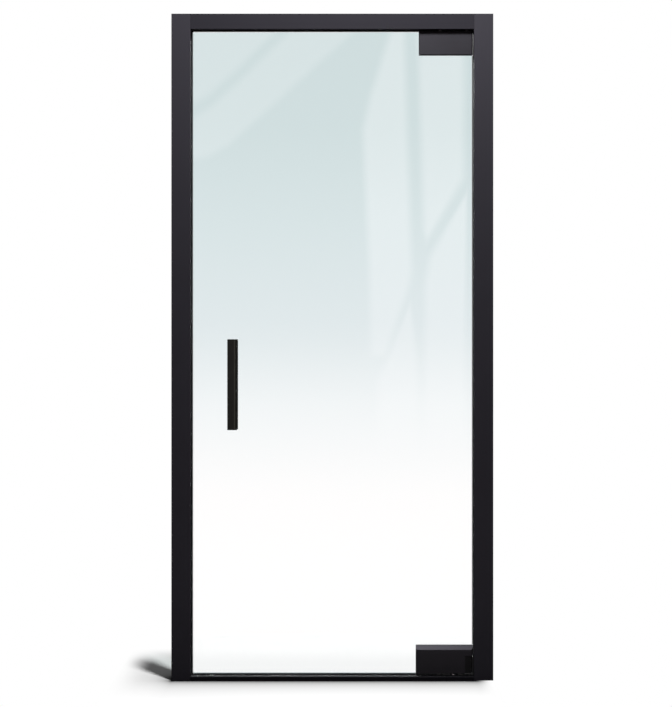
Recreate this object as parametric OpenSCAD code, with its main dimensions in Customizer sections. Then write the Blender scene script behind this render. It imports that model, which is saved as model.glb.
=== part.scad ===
// Glass door with its frame: a double-action glass leaf on two corner patches,
// hung on pivots between a threshold and a header of hollow aluminium profile.
// Millimetres, +Z up, front towards -Y, hinge side towards +X, floor at Z = 0.

/* [Frame] */
// Overall width of the frame
frame_w = 1050; // [900:10:1300]
// Overall height of the frame
frame_h = 2175; // [1900:5:2500]
// Depth of the frame profiles, front to back
frame_d = 100; // [90:2:130]
// Face width of each jamb
jamb_face = 63; // [54:1:80]
// Face height of the header
header_face = 50; // [46:1:70]
// Wall thickness of the hollow profiles
wall = 2.2; // [1.8:0.1:3]
// Floor thickness of the header, which carries the top pivot
header_floor = 4; // [3.5:0.1:5]
// Chamfer along the outer edges of the profiles
arris = 0.8; // [0.4:0.1:1.5]

/* [Threshold] */
// Height of the flat top over the floor
thr_h = 14; // [12:0.5:18]
// How far the threshold stands proud of the jambs, front and back
thr_nose = 12; // [6:1:20]
// Height of the chamfer along each side of the flat top
thr_step = 2; // [1:0.1:2.4]
// Thickness of the top plate
thr_t = 3; // [2.5:0.1:4]
// Number of grip grooves on each half of the flat top
grip_n = 5; // [3:1:6]

/* [Leaf] */
// Thickness of the glass
glass_t = 12; // [10:1:13]
// Gap between the leaf and the strike jamb
strike_gap = 5.5; // [3:0.5:6]
// Gap between the glass and the hinge jamb
hinge_gap = 4.5; // [3.5:0.5:6]
// Gap between the leaf and the header
top_gap = 5; // [3.5:0.5:6]
// Gap between the leaf and the flat top of the threshold
bottom_gap = 6; // [5.5:0.5:9]
// Distance of the pivot axis from the hinge jamb
pivot_set = 65; // [63:0.5:68]

/* [Patches] */
// Length of the top patch
top_patch_l = 176; // [160:1:200]
// Height of the top patch
top_patch_h = 78; // [74:1:90]
// Length of the bottom patch
bottom_patch_l = 186; // [176:1:220]
// Height of the bottom patch
bottom_patch_h = 94; // [88:1:110]
// Half of the thickness over both covers
patch_half = 19; // [18.5:0.1:19.5]
// Gap between the patch covers and the hinge jamb
patch_end_gap = 2.5; // [2.3:0.1:4]
// Chamfer on the hinge-side end of a cover, which lets it turn past the jamb
cover_bevel = 4; // [3.6:0.1:5]
// Chamfer along the other edges of a cover
cover_edge = 1.2; // [1:0.1:2]
// Sheet thickness of the covers
cover_t = 1.5; // [1.2:0.1:2]
// Height of the sloping top edge of a bottom cover
slope_h = 15; // [10:0.5:16]
// How far that edge slopes back
slope_d = 7.5; // [5:0.5:8]
// Width of the cut-away corner of a bottom cover
window_w = 25; // [18:1:36]
// Height of the cut-away corner of a bottom cover
window_h = 59; // [40:1:70]

/* [Pulls] */
// Length of the pull
pull_l = 296; // [280:2:420]
// Width of the pull
pull_w = 31; // [30:1:44]
// Thickness of the pull bar
pull_t = 18; // [14:1:24]
// Clear space between the bar and the glass
pull_clear = 45; // [36:1:60]
// Spacing of the two posts
pull_pitch = 220; // [180:2:240]
// Height of the middle of the pull over the floor
pull_z = 965; // [850:5:1150]
// Distance of the pull from the free edge of the glass
pull_set = 130; // [90:1:200]
// Width of the bevel on the inner side of the bar
pull_bevel = 7; // [6:0.5:14]

/* [Wall and floor fixings] */
// Radius of the wall fixing holes in the jambs
wall_hole_r = 5; // [3:0.25:5.5]
// Height of the lowest wall fixing
wall_fix_low = 250; // [200:10:300]
// Distance of the wall fixings behind the middle of the frame
wall_fix_y = 28; // [24:1:30]
// Radius of the screw holes in the threshold
thr_hole_r = 2.75; // [2.25:0.25:3]
// Distance of the threshold holes from the pivot axis, along the door
thr_hole_set = 117; // [80:1:160]
// Spacing of the threshold holes across the door
thr_hole_dy = 30; // [26:1:36]
// Radius of the screw holes in the pivot base
base_hole_r = 3.5; // [2.5:0.25:4]
// Spacing of the pivot base holes along the door
base_hole_dx = 84; // [78:1:90]
// Spacing of the pivot base holes across the door
base_hole_dy = 24; // [22:0.5:26]

/* [Hidden] */
$fn = 48;
eps = 0.1;
// clearances: press seats, running fits and loose fits
seat = 0.02;
run = 0.05;
loose = 0.3;
half_open = frame_w / 2 - jamb_face;
head_z = frame_h - header_face;
leaf_x0 = -half_open + strike_gap;
leaf_x1 = half_open - hinge_gap;
leaf_z0 = thr_h + bottom_gap;
leaf_z1 = head_z - top_gap;
leaf_h = leaf_z1 - leaf_z0;
pivot_x = half_open - pivot_set;
thr_hole_x = pivot_x - thr_hole_set;

// depth of the threshold's chamfer, front to back
thr_step_d = thr_step / 2;

// seal strips and the slots that hold them
slot_mouth = 5.2;
slot_lip = 2;
slot_w = 9.2;
slot_deep = 5.5;
boss_w = 14;
boss_deep = 7.5;
seal_short = 0.6;

// corner screws and their ports
port_r = 4.2;
screw_r = 2.5;
screw_head_r = 4.6;
screw_head_t = 3;
screw_l = 32;
access_r = 5.2;
thr_screw_y = 26;
port_y = frame_d / 2 - 14;
port_z_low = header_floor + 3.8;
port_z_high = header_face - 11;
port_web = 2;

// patch values in the patch's own frame: X from the pivot axis, Z from the glass edge
heel = pivot_set - patch_end_gap;
cover_lip = 2;
cover_off = 0.5;
gasket_t = 1;
plate_in = glass_t / 2 + gasket_t;
plate_out = patch_half - cover_t;
plate_fit = 0.25;
plate_x1 = heel - cover_t - plate_fit;
// a chamfer a by b seen from inside the sheet: what is left of a
function inside(a, b) = a - cover_t * (1 + (a - norm([a, b])) / b);
inner_bevel = inside(cover_bevel, cover_bevel);
inner_edge = max(0.1, inside(cover_edge, cover_edge));
top_slope = [cover_edge, cover_edge];
bottom_slope = [slope_h, slope_d];
notch_gap = 3;
notch_r = 8;
band_h = 14;
clamp_r = 4;
clamp_head_r = 7.4;
clamp_head_t = 3.6;
clamp_key_r = 2.9;
snap_l = 50;
snap_w = 1.2;
snap_deep = 0.5;
snap_y = plate_in + 1.9;
top_core_l = 84;
top_core_h = 34;
top_bush_deep = 20;
top_screw_x = [-10, 44];
bottom_screw_x = [-50, -10, 29];

// closer inside the bottom patch
core_l = 126;
spindle_r = 8;
bush_wall = 2;
bush_l = 16;
piston_r = 12;
piston_l = 52;
rack_slot_l = 34;
rack_z = bush_l + 1 + piston_r;
journal_top = rack_z - piston_r - 0.5;
upper_r = 4.5;
upper_bush_l = 8;
upper_z = rack_z + piston_r + 1;
core_h = upper_z + upper_bush_l + 4;
core_x0 = plate_x1 - core_l;
plug_l = 12;
plug_r = 13;
chamber = -core_x0 - plug_l;
spring_room = chamber - piston_l / 2;
spring_r = 9.4;
spring_wire = 1.4;
spring_turns = 5;
teeth = 12;
gear_m = 1;
pitch_r = teeth * gear_m / 2;
press_deg = 20;
backlash = 0.12;
pinion_tip = 0.75 * gear_m;
rack_tip = 0.68 * gear_m;
tooth_root = 1.15 * gear_m;
valve_r = 2.6;
valve_l = 7;
valve_x = plate_x1 - 3.6;
valve_z = [14, 42];

// bottom pivot
collar_t = bottom_gap / 2;
collar_r = 14;
tang = 14;
tang_l = 9;
base_l = 110;
base_d = 44;

// top pivot
pin_r = 7.5;
pin_in = 17;
pin_lift = 20;
pin_collar_r = 10;
pin_collar_t = 4;
pin_ledge = 2;
housing_d = 34;
housing_l = 40;
flange_l = 110;
flange_t = 6;
pivot_screw_dx = 88;
pivot_screw_dy = 22;
pivot_screw_r = 3;
pivot_head_r = 5.6;
pivot_head_t = 2.6;
pivot_key_r = 2.3;
lock_r = 2.5;
small_key_r = 1.4;

// pulls
pull_x = leaf_x0 + pull_set;
post_r = 11;
stud_r = 5;
stud_in = 26;
glass_hole_r = 8;
ferrule_r = 14;
grub_r = 2.5;
bevel_deep = 7;
pull_edge = 0.8;
pull_back = glass_t / 2 + pull_clear;
pull_front = pull_back + pull_t;

black_alu = [0.10, 0.10, 0.11];
dark_alu = [0.06, 0.06, 0.065];
steel_grey = [0.62, 0.63, 0.65];
black_steel = [0.07, 0.07, 0.07];
bronze = [0.70, 0.52, 0.28];
seal_black = [0.04, 0.04, 0.04];
glass_tint = [0.78, 0.88, 0.87, 0.45];

// a box between two corners
module span(a, b) {
    translate(a)
        cube(b - a);
}

// a cylinder along X, Y or Z
module rod_x(r, x0, x1) {
    translate([x0, 0, 0])
        rotate([0, 90, 0])
            cylinder(r = r, h = x1 - x0);
}

module rod_y(r, y0, y1) {
    translate([0, y1, 0])
        rotate([90, 0, 0])
            cylinder(r = r, h = y1 - y0);
}

module rod_z(r, z0, z1) {
    translate([0, 0, z0])
        cylinder(r = r, h = z1 - z0);
}

// hexagon socket, cut along +Z from just below z = 0
module hex_socket(r, deep) {
    translate([0, 0, -1])
        cylinder(r = r, h = deep + 1, $fn = 6);
}

// a countersunk head whose wide end lies at y = 0 and which runs back along +Y
module sunk_y(r_wide, r_narrow, deep) {
    rotate([-90, 0, 0])
        cylinder(r1 = r_wide, r2 = r_narrow, h = deep);
}

// a rectangle with chamfered corners, from x = 0, centred on y
module arris_rect(size_x, size_y) {
    half_y = size_y / 2;
    polygon([
        [arris, -half_y], [size_x - arris, -half_y],
        [size_x, arris - half_y], [size_x, half_y - arris],
        [size_x - arris, half_y], [arris, half_y],
        [0, half_y - arris], [0, arris - half_y]]);
}

// T-shaped slot for a seal strip, cut inward from x = 0
module seal_slot() {
    translate([-eps, -slot_mouth / 2])
        square([slot_lip + 2 * eps, slot_mouth]);
    translate([slot_lip, -slot_w / 2])
        square([slot_deep - slot_lip, slot_w]);
}

// hollow profile with the seal slot on its x = 0 side and a wall of its own there
module hollow_profile(size_x, slot_side_wall, webbed) {
    difference() {
        arris_rect(size_x, frame_d);
        difference() {
            translate([slot_side_wall, wall - frame_d / 2])
                square([size_x - slot_side_wall - wall, frame_d - 2 * wall]);
            translate([0, -boss_w / 2])
                square([boss_deep, boss_w]);
            if (webbed)
                translate([boss_deep - eps, -wall / 2])
                    square([size_x, wall]);
        }
        seal_slot();
    }
}

function corner_ports() = [for (y = [-port_y, port_y], z = [port_z_low, port_z_high]) [y, head_z + z]];

function wall_fix_heights() =
    [for (i = [0 : 3]) wall_fix_low + i * (frame_h - 2 * wall_fix_low) / 3];

// one jamb on the hinge side; the strike jamb is its mirror image
module jamb() {
    inner = half_open;
    outer = frame_w / 2;
    difference() {
        translate([inner, 0, 0])
            linear_extrude(frame_h)
                hollow_profile(jamb_face, wall, true);
        for (p = corner_ports())
            translate([0, p[0], p[1]]) {
                rod_x(screw_r + loose, inner - 1, inner + wall + 1);
                rod_x(access_r, outer - wall - 1, outer + 1);
            }
        for (y = [-thr_screw_y, thr_screw_y])
            translate([0, y, thr_h / 2]) {
                rod_x(screw_r + loose, inner - 1, inner + wall + 1);
                rod_x(access_r, outer - wall - 1, outer + 1);
            }
        for (z = wall_fix_heights())
            translate([0, wall_fix_y, z]) {
                rod_x(wall_hole_r, outer - wall - 1, outer + 1);
                rod_x(cap_hole_r(), inner - 1, inner + wall + 1);
            }
    }
}

function cap_hole_r() = wall_hole_r + 4;

module strike_jamb() {
    color(black_alu)
        mirror([1, 0, 0])
            jamb();
}

module hinge_jamb() {
    color(black_alu)
        jamb();
}

// header with screw ports, opened for the top pivot
module header() {
    color(black_alu)
        difference() {
            union() {
                translate([half_open, 0, head_z])
                    rotate([0, -90, 0])
                        linear_extrude(2 * half_open)
                            hollow_profile(header_face, header_floor, false);
                for (p = corner_ports())
                    translate([0, p[0], p[1]])
                        rod_x(port_r, -half_open, half_open);
                for (y = [-port_y, port_y])
                    span([-half_open, y - port_web / 2, head_z + port_z_high],
                        [half_open, y + port_web / 2, frame_h - wall / 2]);
            }
            for (p = corner_ports())
                translate([0, p[0], p[1]])
                    rod_x(screw_r + run, -half_open - 1, half_open + 1);
            translate([pivot_x, 0, head_z]) {
                span([-flange_l / 2 - 1, -housing_d / 2 - loose, header_floor],
                    [flange_l / 2 + 1, housing_d / 2 + loose, boss_deep + 1]);
                rod_z(housing_hub_r() + loose, -1, header_floor + 1);
                pivot_screw_places()
                    rod_z(pivot_screw_r + loose, -1, header_floor + 1);
                pivot_screw_places()
                    pivot_sink(seat);
            }
        }
}

function housing_hub_r() = pin_collar_r + 3.4;

module pivot_screw_places() {
    for (x = [-1, 1], y = [-1, 1])
        translate([x * pivot_screw_dx / 2, y * pivot_screw_dy / 2, 0])
            children();
}

module pivot_sink(gap) {
    translate([0, 0, -gap])
        cylinder(r1 = pivot_head_r + gap, r2 = pivot_screw_r, h = pivot_head_t + gap);
}

// low sill: flat top with a seal slot and grip grooves, upright sides, ribs down to the floor
module threshold_section() {
    half_d = frame_d / 2 + thr_nose;
    half_flat = half_d - thr_step_d;
    side_z = thr_h - thr_step;
    under = thr_h - thr_t - 0.4;
    hollow = half_d - thr_t;
    groove_w = 1.6;
    groove_step = (half_flat - 6) / (grip_n + 1);
    difference() {
        polygon([
            [-half_d, 0], [-half_d, side_z], [-half_flat, thr_h],
            [half_flat, thr_h], [half_d, side_z], [half_d, 0]]);
        difference() {
            translate([-hollow, -eps])
                square([2 * hollow, under + eps]);
            for (s = [-1, 1]) {
                translate([s * 33 - 1.25, -1])
                    square([2.5, thr_h]);
                translate([s * thr_screw_y - port_r, thr_h / 2 - 1])
                    square([2 * port_r, thr_h]);
            }
            translate([-boss_w / 2, thr_h - boss_deep])
                square([boss_w, boss_deep]);
        }
        translate([0, thr_h])
            rotate(-90)
                seal_slot();
        for (s = [-1, 1], i = [1 : grip_n])
            translate([s * i * groove_step - groove_w / 2, thr_h - 0.8])
                square([groove_w, 2]);
    }
}

module threshold() {
    color(black_alu)
        difference() {
            translate([-half_open, 0, 0])
                rotate([90, 0, 90])
                    linear_extrude(2 * half_open)
                        threshold_section();
            for (y = [-thr_screw_y, thr_screw_y])
                translate([0, y, thr_h / 2])
                    rod_x(screw_r + run, -half_open - 1, half_open + 1);
            span([pivot_x - base_l / 2 - loose, -base_d / 2 - loose, -1],
                [pivot_x + base_l / 2 + loose, base_d / 2 + loose, thr_h + 1]);
            for (x = [-1, 1], y = [-1, 1])
                translate([x * thr_hole_x, y * thr_hole_dy / 2, 0]) {
                    rod_z(thr_hole_r, -1, thr_h + 1);
                    rod_z(thr_hole_r + 2.2, thr_h - 1.4, thr_h + 1);
                }
        }
}

// pan-head screw along +X with its head's flat side at x = 0
module joint_screw() {
    rod_x(screw_r, 0, screw_l);
    difference() {
        rod_x(screw_head_r, -screw_head_t, 0);
        translate([-screw_head_t - 1, -screw_head_r, -0.6])
            cube([2.2, 2 * screw_head_r, 1.2]);
    }
}

module both_sides() {
    children();
    mirror([1, 0, 0])
        children();
}

module corner_screws() {
    color(steel_grey)
        both_sides()
            for (p = corner_ports())
                translate([half_open + wall, p[0], p[1]])
                    mirror([1, 0, 0])
                        joint_screw();
}

module threshold_screws() {
    color(steel_grey)
        both_sides()
            for (y = [-thr_screw_y, thr_screw_y])
                translate([half_open + wall, y, thr_h / 2])
                    mirror([1, 0, 0])
                        joint_screw();
}

// seal strip: foot in the slot, neck through its mouth, pile standing out by reach
module seal_section(reach) {
    foot_w = slot_w - 0.6;
    neck_w = slot_mouth - 0.6;
    foot_t = slot_deep - slot_lip - 0.6;
    polygon([
        [slot_deep, -foot_w / 2], [slot_deep, foot_w / 2],
        [slot_deep - foot_t, foot_w / 2], [slot_deep - foot_t, neck_w / 2],
        [0, neck_w / 2], [-0.6, neck_w / 2 + 0.5], [-reach + 0.8, neck_w / 2 - 0.3],
        [-reach, 0.8], [-reach, -0.8], [-reach + 0.8, 0.3 - neck_w / 2],
        [-0.6, -0.5 - neck_w / 2], [0, -neck_w / 2],
        [slot_deep - foot_t, -neck_w / 2], [slot_deep - foot_t, -foot_w / 2]]);
}

module strike_seal() {
    z0 = thr_h + loose;
    z1 = head_z - loose;
    color(seal_black)
        mirror([1, 0, 0])
            translate([half_open, 0, z0])
                linear_extrude(z1 - z0)
                    seal_section(strike_gap - seal_short);
}

module hinge_seal() {
    z0 = leaf_z0 - cover_lip + bottom_patch_h + 3;
    z1 = leaf_z1 + cover_lip - top_patch_h - 3;
    color(seal_black)
        translate([half_open, 0, z0])
            linear_extrude(z1 - z0)
                seal_section(hinge_gap - seal_short - 0.2);
}

module header_seal() {
    x0 = leaf_x0 + 1;
    x1 = pivot_x + heel - top_patch_l - 3;
    color(seal_black)
        translate([x1, 0, head_z])
            rotate([0, -90, 0])
                linear_extrude(x1 - x0)
                    seal_section(top_gap - seal_short);
}

// strip under the free length of the glass, clear of the bottom patch as it turns
module threshold_seal() {
    x0 = leaf_x0 + 1;
    x1 = pivot_x + heel - bottom_patch_l - 3;
    color(seal_black)
        translate([x0, 0, thr_h])
            rotate([0, 90, 0])
                linear_extrude(x1 - x0)
                    seal_section(bottom_gap - seal_short);
}

// caps over the access holes: thin rim on the reveal, plug in the hole
module fixing_caps() {
    rim = 0.5;
    color(seal_black)
        both_sides()
            for (z = wall_fix_heights())
                translate([half_open, wall_fix_y, z]) {
                    rod_x(cap_hole_r() + 1.5, -rim, 0);
                    rod_x(cap_hole_r() - seat, -eps, wall + 2);
                }
}

// block let into the threshold, with a square socket for the spindle
module pivot_base() {
    color(black_steel)
        translate([pivot_x, 0, 0])
            difference() {
                span([-base_l / 2, -base_d / 2, 0], [base_l / 2, base_d / 2, thr_h]);
                span([-tang / 2 - run, -tang / 2 - run, thr_h - tang_l],
                    [tang / 2 + run, tang / 2 + run, thr_h + 1]);
                for (x = [-1, 1], y = [-1, 1])
                    translate([x * base_hole_dx / 2, y * base_hole_dy / 2, 0]) {
                        rod_z(base_hole_r, -1, thr_h + 1);
                        rod_z(base_hole_r + 2.6, thr_h - 3.6, thr_h + 1);
                    }
            }
}

// patch frames: the origin is the pivot axis at the edge of the glass, Z runs into the leaf
module at_bottom() {
    translate([pivot_x, 0, leaf_z0])
        children();
}

module at_top() {
    translate([pivot_x, 0, leaf_z1])
        mirror([0, 0, 1])
            children();
}

module mirror_y() {
    mirror([0, 1, 0])
        children();
}

// involute pinion
base_r = pitch_r * cos(press_deg);
function roll(r) = sqrt(max(0, pow(r / base_r, 2) - 1));
function involute_deg(r) = roll(r) * 180 / PI - atan(roll(r));
tooth_half_deg = 90 / teeth - backlash / 4 / pitch_r * 180 / PI;
function flank_deg(r) = tooth_half_deg + involute_deg(pitch_r) - involute_deg(r);
function polar(r, a) = [r * cos(a), r * sin(a)];
flank_n = 5;
flank_radii = [for (i = [0 : flank_n]) base_r + i * (pitch_r + pinion_tip - base_r) / flank_n];
function tooth_points(a) = concat(
    [polar(pitch_r - tooth_root, a - flank_deg(base_r))],
    [for (r = flank_radii) polar(r, a - flank_deg(r))],
    [for (i = [flank_n : -1 : 0]) polar(flank_radii[i], a + flank_deg(flank_radii[i]))],
    [polar(pitch_r - tooth_root, a + flank_deg(base_r))]);

module pinion_section() {
    polygon([for (i = [0 : teeth - 1]) each tooth_points(90 + i * 360 / teeth)]);
}

// spindle: square tang in the base, collar, journal, pinion, upper journal
module pinion_spindle() {
    color(steel_grey)
        at_bottom() {
            span([-tang / 2, -tang / 2, -bottom_gap - tang_l + 0.5], [tang / 2, tang / 2, eps - bottom_gap]);
            rod_z(collar_r, -bottom_gap, collar_t - bottom_gap);
            rod_z(spindle_r, -bottom_gap, journal_top);
            translate([0, 0, journal_top - eps])
                linear_extrude(rack_z + piston_r - journal_top + eps)
                    pinion_section();
            rod_z(upper_r, rack_z, upper_z + upper_bush_l - 0.5);
        }
}

module thrust_ring() {
    color(seal_black)
        at_bottom()
            difference() {
                rod_z(collar_r, collar_t - bottom_gap, 0);
                rod_z(spindle_r + loose, -bottom_gap, 1);
            }
}

// housing held in the header by its flange; the pin's collar rests on a ledge inside
module pivot_housing() {
    top = header_face - wall - 6;
    color(dark_alu)
        translate([pivot_x, 0, head_z])
            difference() {
                union() {
                    span([-flange_l / 2, -housing_d / 2, header_floor],
                        [flange_l / 2, housing_d / 2, header_floor + flange_t]);
                    span([-housing_l / 2, -housing_d / 2, header_floor], [housing_l / 2, housing_d / 2, top]);
                    rod_z(housing_hub_r(), 0, header_floor + 1);
                }
                rod_z(pin_r + run, -1, top + 1);
                rod_z(pin_collar_r + run, header_floor + pin_ledge, top + 1);
                pivot_screw_places()
                    rod_z(pivot_screw_r + seat, header_floor - 1, header_floor + flange_t + 1);
                translate([0, 0, lock_z()])
                    rod_y(lock_r + seat, -housing_d / 2 - 1, 0);
            }
}

function lock_z() = header_floor + pin_ledge + pin_collar_t / 2;

// pin with a collar; it is drawn up out of the leaf to hang or take down the door
module pivot_pin() {
    color(steel_grey)
        translate([pivot_x, 0, head_z])
            difference() {
                union() {
                    rod_z(pin_r, -top_gap - pin_in + 2, header_face - wall - pin_lift - 1.5);
                    rod_z(pin_collar_r, header_floor + pin_ledge, header_floor + pin_ledge + pin_collar_t);
                    translate([0, 0, -top_gap - pin_in])
                        cylinder(r1 = pin_r - 1.2, r2 = pin_r, h = 2);
                }
                translate([0, 0, header_face - wall - pin_lift - 5.5])
                    rod_z(2.5, 0, 6);
            }
}

module pivot_screws() {
    color(steel_grey)
        translate([pivot_x, 0, head_z])
            pivot_screw_places()
                difference() {
                    union() {
                        cylinder(r1 = pivot_head_r, r2 = pivot_screw_r, h = pivot_head_t);
                        rod_z(pivot_screw_r, pivot_head_t - eps, header_floor + flange_t);
                    }
                    hex_socket(pivot_key_r, 1.6);
                }
}

module pin_lock_screw() {
    color(steel_grey)
        translate([pivot_x, 0, head_z + lock_z()])
            difference() {
                rod_y(lock_r, -housing_d / 2, -pin_collar_r - 0.4);
                translate([0, -housing_d / 2, 0])
                    rotate([-90, 0, 0])
                        hex_socket(small_key_r, 2);
            }
}

// corner cut of the glass for a patch core, with a rounded inner corner
module glass_notch(x0, deep) {
    span([x0, -glass_t, -5], [pivot_set, glass_t, deep - notch_r]);
    span([x0 + notch_r, -glass_t, -5], [pivot_set, glass_t, deep]);
    translate([x0 + notch_r, 0, deep - notch_r])
        rod_y(notch_r, -glass_t, glass_t);
}

// long edges of the glass taken off at 45 degrees on both faces
module glass_arris() {
    cut = 1.2;
    mid_z = (leaf_z0 + leaf_z1) / 2;
    for (s = [-1, 1]) {
        for (x = [leaf_x0, leaf_x1])
            translate([x, s * glass_t / 2, mid_z])
                rotate([0, 0, 45])
                    cube([cut * sqrt(2), cut * sqrt(2), leaf_h + 20], center = true);
        for (z = [leaf_z0, leaf_z1])
            translate([(leaf_x0 + leaf_x1) / 2, s * glass_t / 2, z])
                rotate([45, 0, 0])
                    cube([leaf_x1 - leaf_x0 + 20, cut * sqrt(2), cut * sqrt(2)], center = true);
    }
}

module pull_post_places() {
    for (s = [-1, 1])
        translate([pull_x, 0, pull_z + s * pull_pitch / 2])
            children();
}

module glass_pane() {
    color(glass_tint)
        difference() {
            span([leaf_x0, -glass_t / 2, leaf_z0], [leaf_x1, glass_t / 2, leaf_z1]);
            glass_arris();
            at_bottom()
                glass_notch(core_x0 - notch_gap, core_h + band_h + notch_gap);
            at_top()
                glass_notch(plate_x1 - top_core_l - notch_gap, top_core_h + band_h + notch_gap);
            pull_post_places()
                rod_y(glass_hole_r, -glass_t, glass_t);
        }
}

// box from x0 to x1 and z0 to z1, half_y deep each way, with chamfered front and rear edges:
// end is the chamfer at x1, edge that at x0 and z0, slope the height and depth of that at z1
module bevelled_box(x0, x1, z0, z1, half_y, end, edge, slope) {
    end_y = half_y - end;
    edge_y = half_y - edge;
    top_y = half_y - slope[1];
    top_z = z1 - slope[0];
    intersection() {
        translate([0, 0, z0])
            linear_extrude(z1 - z0)
                polygon([
                    [x0, -edge_y], [x0 + edge, -half_y], [x1 - end, -half_y], [x1, -end_y],
                    [x1, end_y], [x1 - end, half_y], [x0 + edge, half_y], [x0, edge_y]]);
        translate([x0, 0, 0])
            rotate([90, 0, 90])
                linear_extrude(x1 - x0)
                    polygon([
                        [-edge_y, z0], [-half_y, z0 + edge], [-half_y, top_z], [-top_y, z1],
                        [top_y, z1], [half_y, top_z], [half_y, z0 + edge], [edge_y, z0]]);
    }
}

function plate_top(h) = h - cover_lip - cover_t - plate_fit;
function inner_slope(slope) = [
    max(0.1, inside(slope[0], slope[1])),
    max(0.1, inside(slope[1], slope[0]))];

// everything of a patch that lies under its covers
module patch_envelope(l, h, slope) {
    ease = 0.1;
    bevelled_box(heel - l + cover_t + plate_fit, plate_x1, 0, plate_top(h), plate_out,
        inner_bevel + ease, inner_edge + ease, inner_slope(slope) + [ease, ease]);
}

// clamping plate of a patch between two depths
module plate_block(l, h, slope, y0, y1) {
    intersection() {
        patch_envelope(l, h, slope);
        span([-l, y0, -1], [l, y1, h]);
    }
}

// grooves in the plate edges that the covers snap into
module snap_grooves(l, h) {
    x0 = heel - l + snap_l / 2 - plate_fit;
    x1 = x0 + snap_l + 2 * plate_fit;
    w = snap_w / 2 + 0.15;
    deep = snap_deep + 0.15;
    for (s = [-1, 1]) {
        span([x0, s * snap_y - w, -1], [x1, s * snap_y + w, deep]);
        span([x0, s * snap_y - w, plate_top(h) - deep], [x1, s * snap_y + w, plate_top(h) + 1]);
    }
}

// rear plate, core in the notch and the tapped band beside the core
module patch_body(l, h, slope, body_l, body_h, screw_x) {
    difference() {
        intersection() {
            patch_envelope(l, h, slope);
            union() {
                span([-l, plate_in, -1], [l, plate_out + 1, h]);
                span([plate_x1 - body_l, -plate_out - 1, -1], [plate_x1 + 1, plate_out, body_h]);
                span([plate_x1 - body_l, -glass_t / 2, body_h - 1], [plate_x1 + 1, plate_out, body_h + band_h]);
            }
        }
        for (x = screw_x)
            translate([x, 0, body_h + band_h / 2 + 1])
                rod_y(clamp_r + seat, -plate_in - 1, plate_out - 2);
        snap_grooves(l, h);
    }
}

// front plate that clamps the glass against the body
module patch_clamp(l, h, slope, body_l, body_h, screw_x) {
    difference() {
        plate_block(l, h, slope, -plate_out, -plate_in);
        span([plate_x1 - body_l - 0.4, -plate_out - 1, -1], [plate_x1 + 1, 1 - plate_in, body_h + 0.4]);
        for (x = screw_x)
            translate([x, 0, body_h + band_h / 2 + 1]) {
                rod_y(clamp_r + loose, -plate_out - 1, 0);
                translate([0, -plate_out, 0])
                    sunk_y(clamp_head_r + seat, clamp_r, clamp_head_t + seat);
            }
        snap_grooves(l, h);
    }
}

// gasket between a plate and the glass
module patch_gasket(l, h, body_l, body_h) {
    difference() {
        span([heel - l + cover_t + 1, -plate_in, 1.5],
            [pivot_set - hinge_gap - 1.5, -glass_t / 2, h - cover_lip - cover_t - 1.5]);
        span([plate_x1 - body_l - notch_gap - 1, -plate_in - 1, -1],
            [pivot_set, 0, body_h + band_h + notch_gap + 1]);
    }
}

module patch_screws(body_h, screw_x) {
    for (x = screw_x)
        translate([x, -plate_out, body_h + band_h / 2 + 1])
            difference() {
                union() {
                    sunk_y(clamp_head_r, clamp_r, clamp_head_t);
                    rod_y(clamp_r, clamp_head_t - eps, 2 * plate_out - 4);
                }
                rotate([-90, 0, 0])
                    hex_socket(clamp_key_r, 2.4);
            }
}

// tray that hides a plate: chamfered front, four short sides, snap ribs inside
module patch_cover(l, h, slope) {
    z1 = h - cover_lip;
    rear = -glass_t / 2 - cover_off;
    rib_y = -snap_y - snap_w / 2;
    difference() {
        bevelled_box(heel - l, heel, -cover_lip, z1, patch_half, cover_bevel, cover_edge, slope);
        bevelled_box(heel - l + cover_t, heel - cover_t, cover_t - cover_lip, z1 - cover_t,
            plate_out, inner_bevel, inner_edge, inner_slope(slope));
        span([-l, rear, -cover_lip - 1], [l, patch_half + 1, h]);
        rod_z(collar_r + 4, -cover_lip - 1, cover_t);
    }
    translate([heel - l + snap_l / 2, rib_y, 0]) {
        span([0, 0, -cover_lip + 0.5], [snap_l, snap_w, snap_deep]);
        span([0, 0, plate_top(h) - snap_deep], [snap_l, snap_w, z1 - 0.5]);
    }
}

module top_body() {
    color(dark_alu)
        at_top()
            difference() {
                patch_body(top_patch_l, top_patch_h, top_slope, top_core_l, top_core_h, top_screw_x);
                rod_z(pin_r + run + bush_wall + seat, -1, top_bush_deep);
            }
}

module top_clamp() {
    color(dark_alu)
        at_top()
            patch_clamp(top_patch_l, top_patch_h, top_slope, top_core_l, top_core_h, top_screw_x);
}

module top_front_gasket() {
    color(seal_black)
        at_top()
            patch_gasket(top_patch_l, top_patch_h, top_core_l, top_core_h);
}

module top_rear_gasket() {
    color(seal_black)
        at_top()
            mirror_y()
                patch_gasket(top_patch_l, top_patch_h, top_core_l, top_core_h);
}

module top_bush() {
    color(bronze)
        at_top()
            difference() {
                rod_z(pin_r + run + bush_wall, 0, top_bush_deep);
                rod_z(pin_r + run, -1, top_bush_deep + 1);
            }
}

module top_clamp_screws() {
    color(steel_grey)
        at_top()
            patch_screws(top_core_h, top_screw_x);
}

module top_front_cover() {
    color(black_alu)
        at_top()
            patch_cover(top_patch_l, top_patch_h, top_slope);
}

module top_rear_cover() {
    color(black_alu)
        at_top()
            mirror_y()
                patch_cover(top_patch_l, top_patch_h, top_slope);
}

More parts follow.
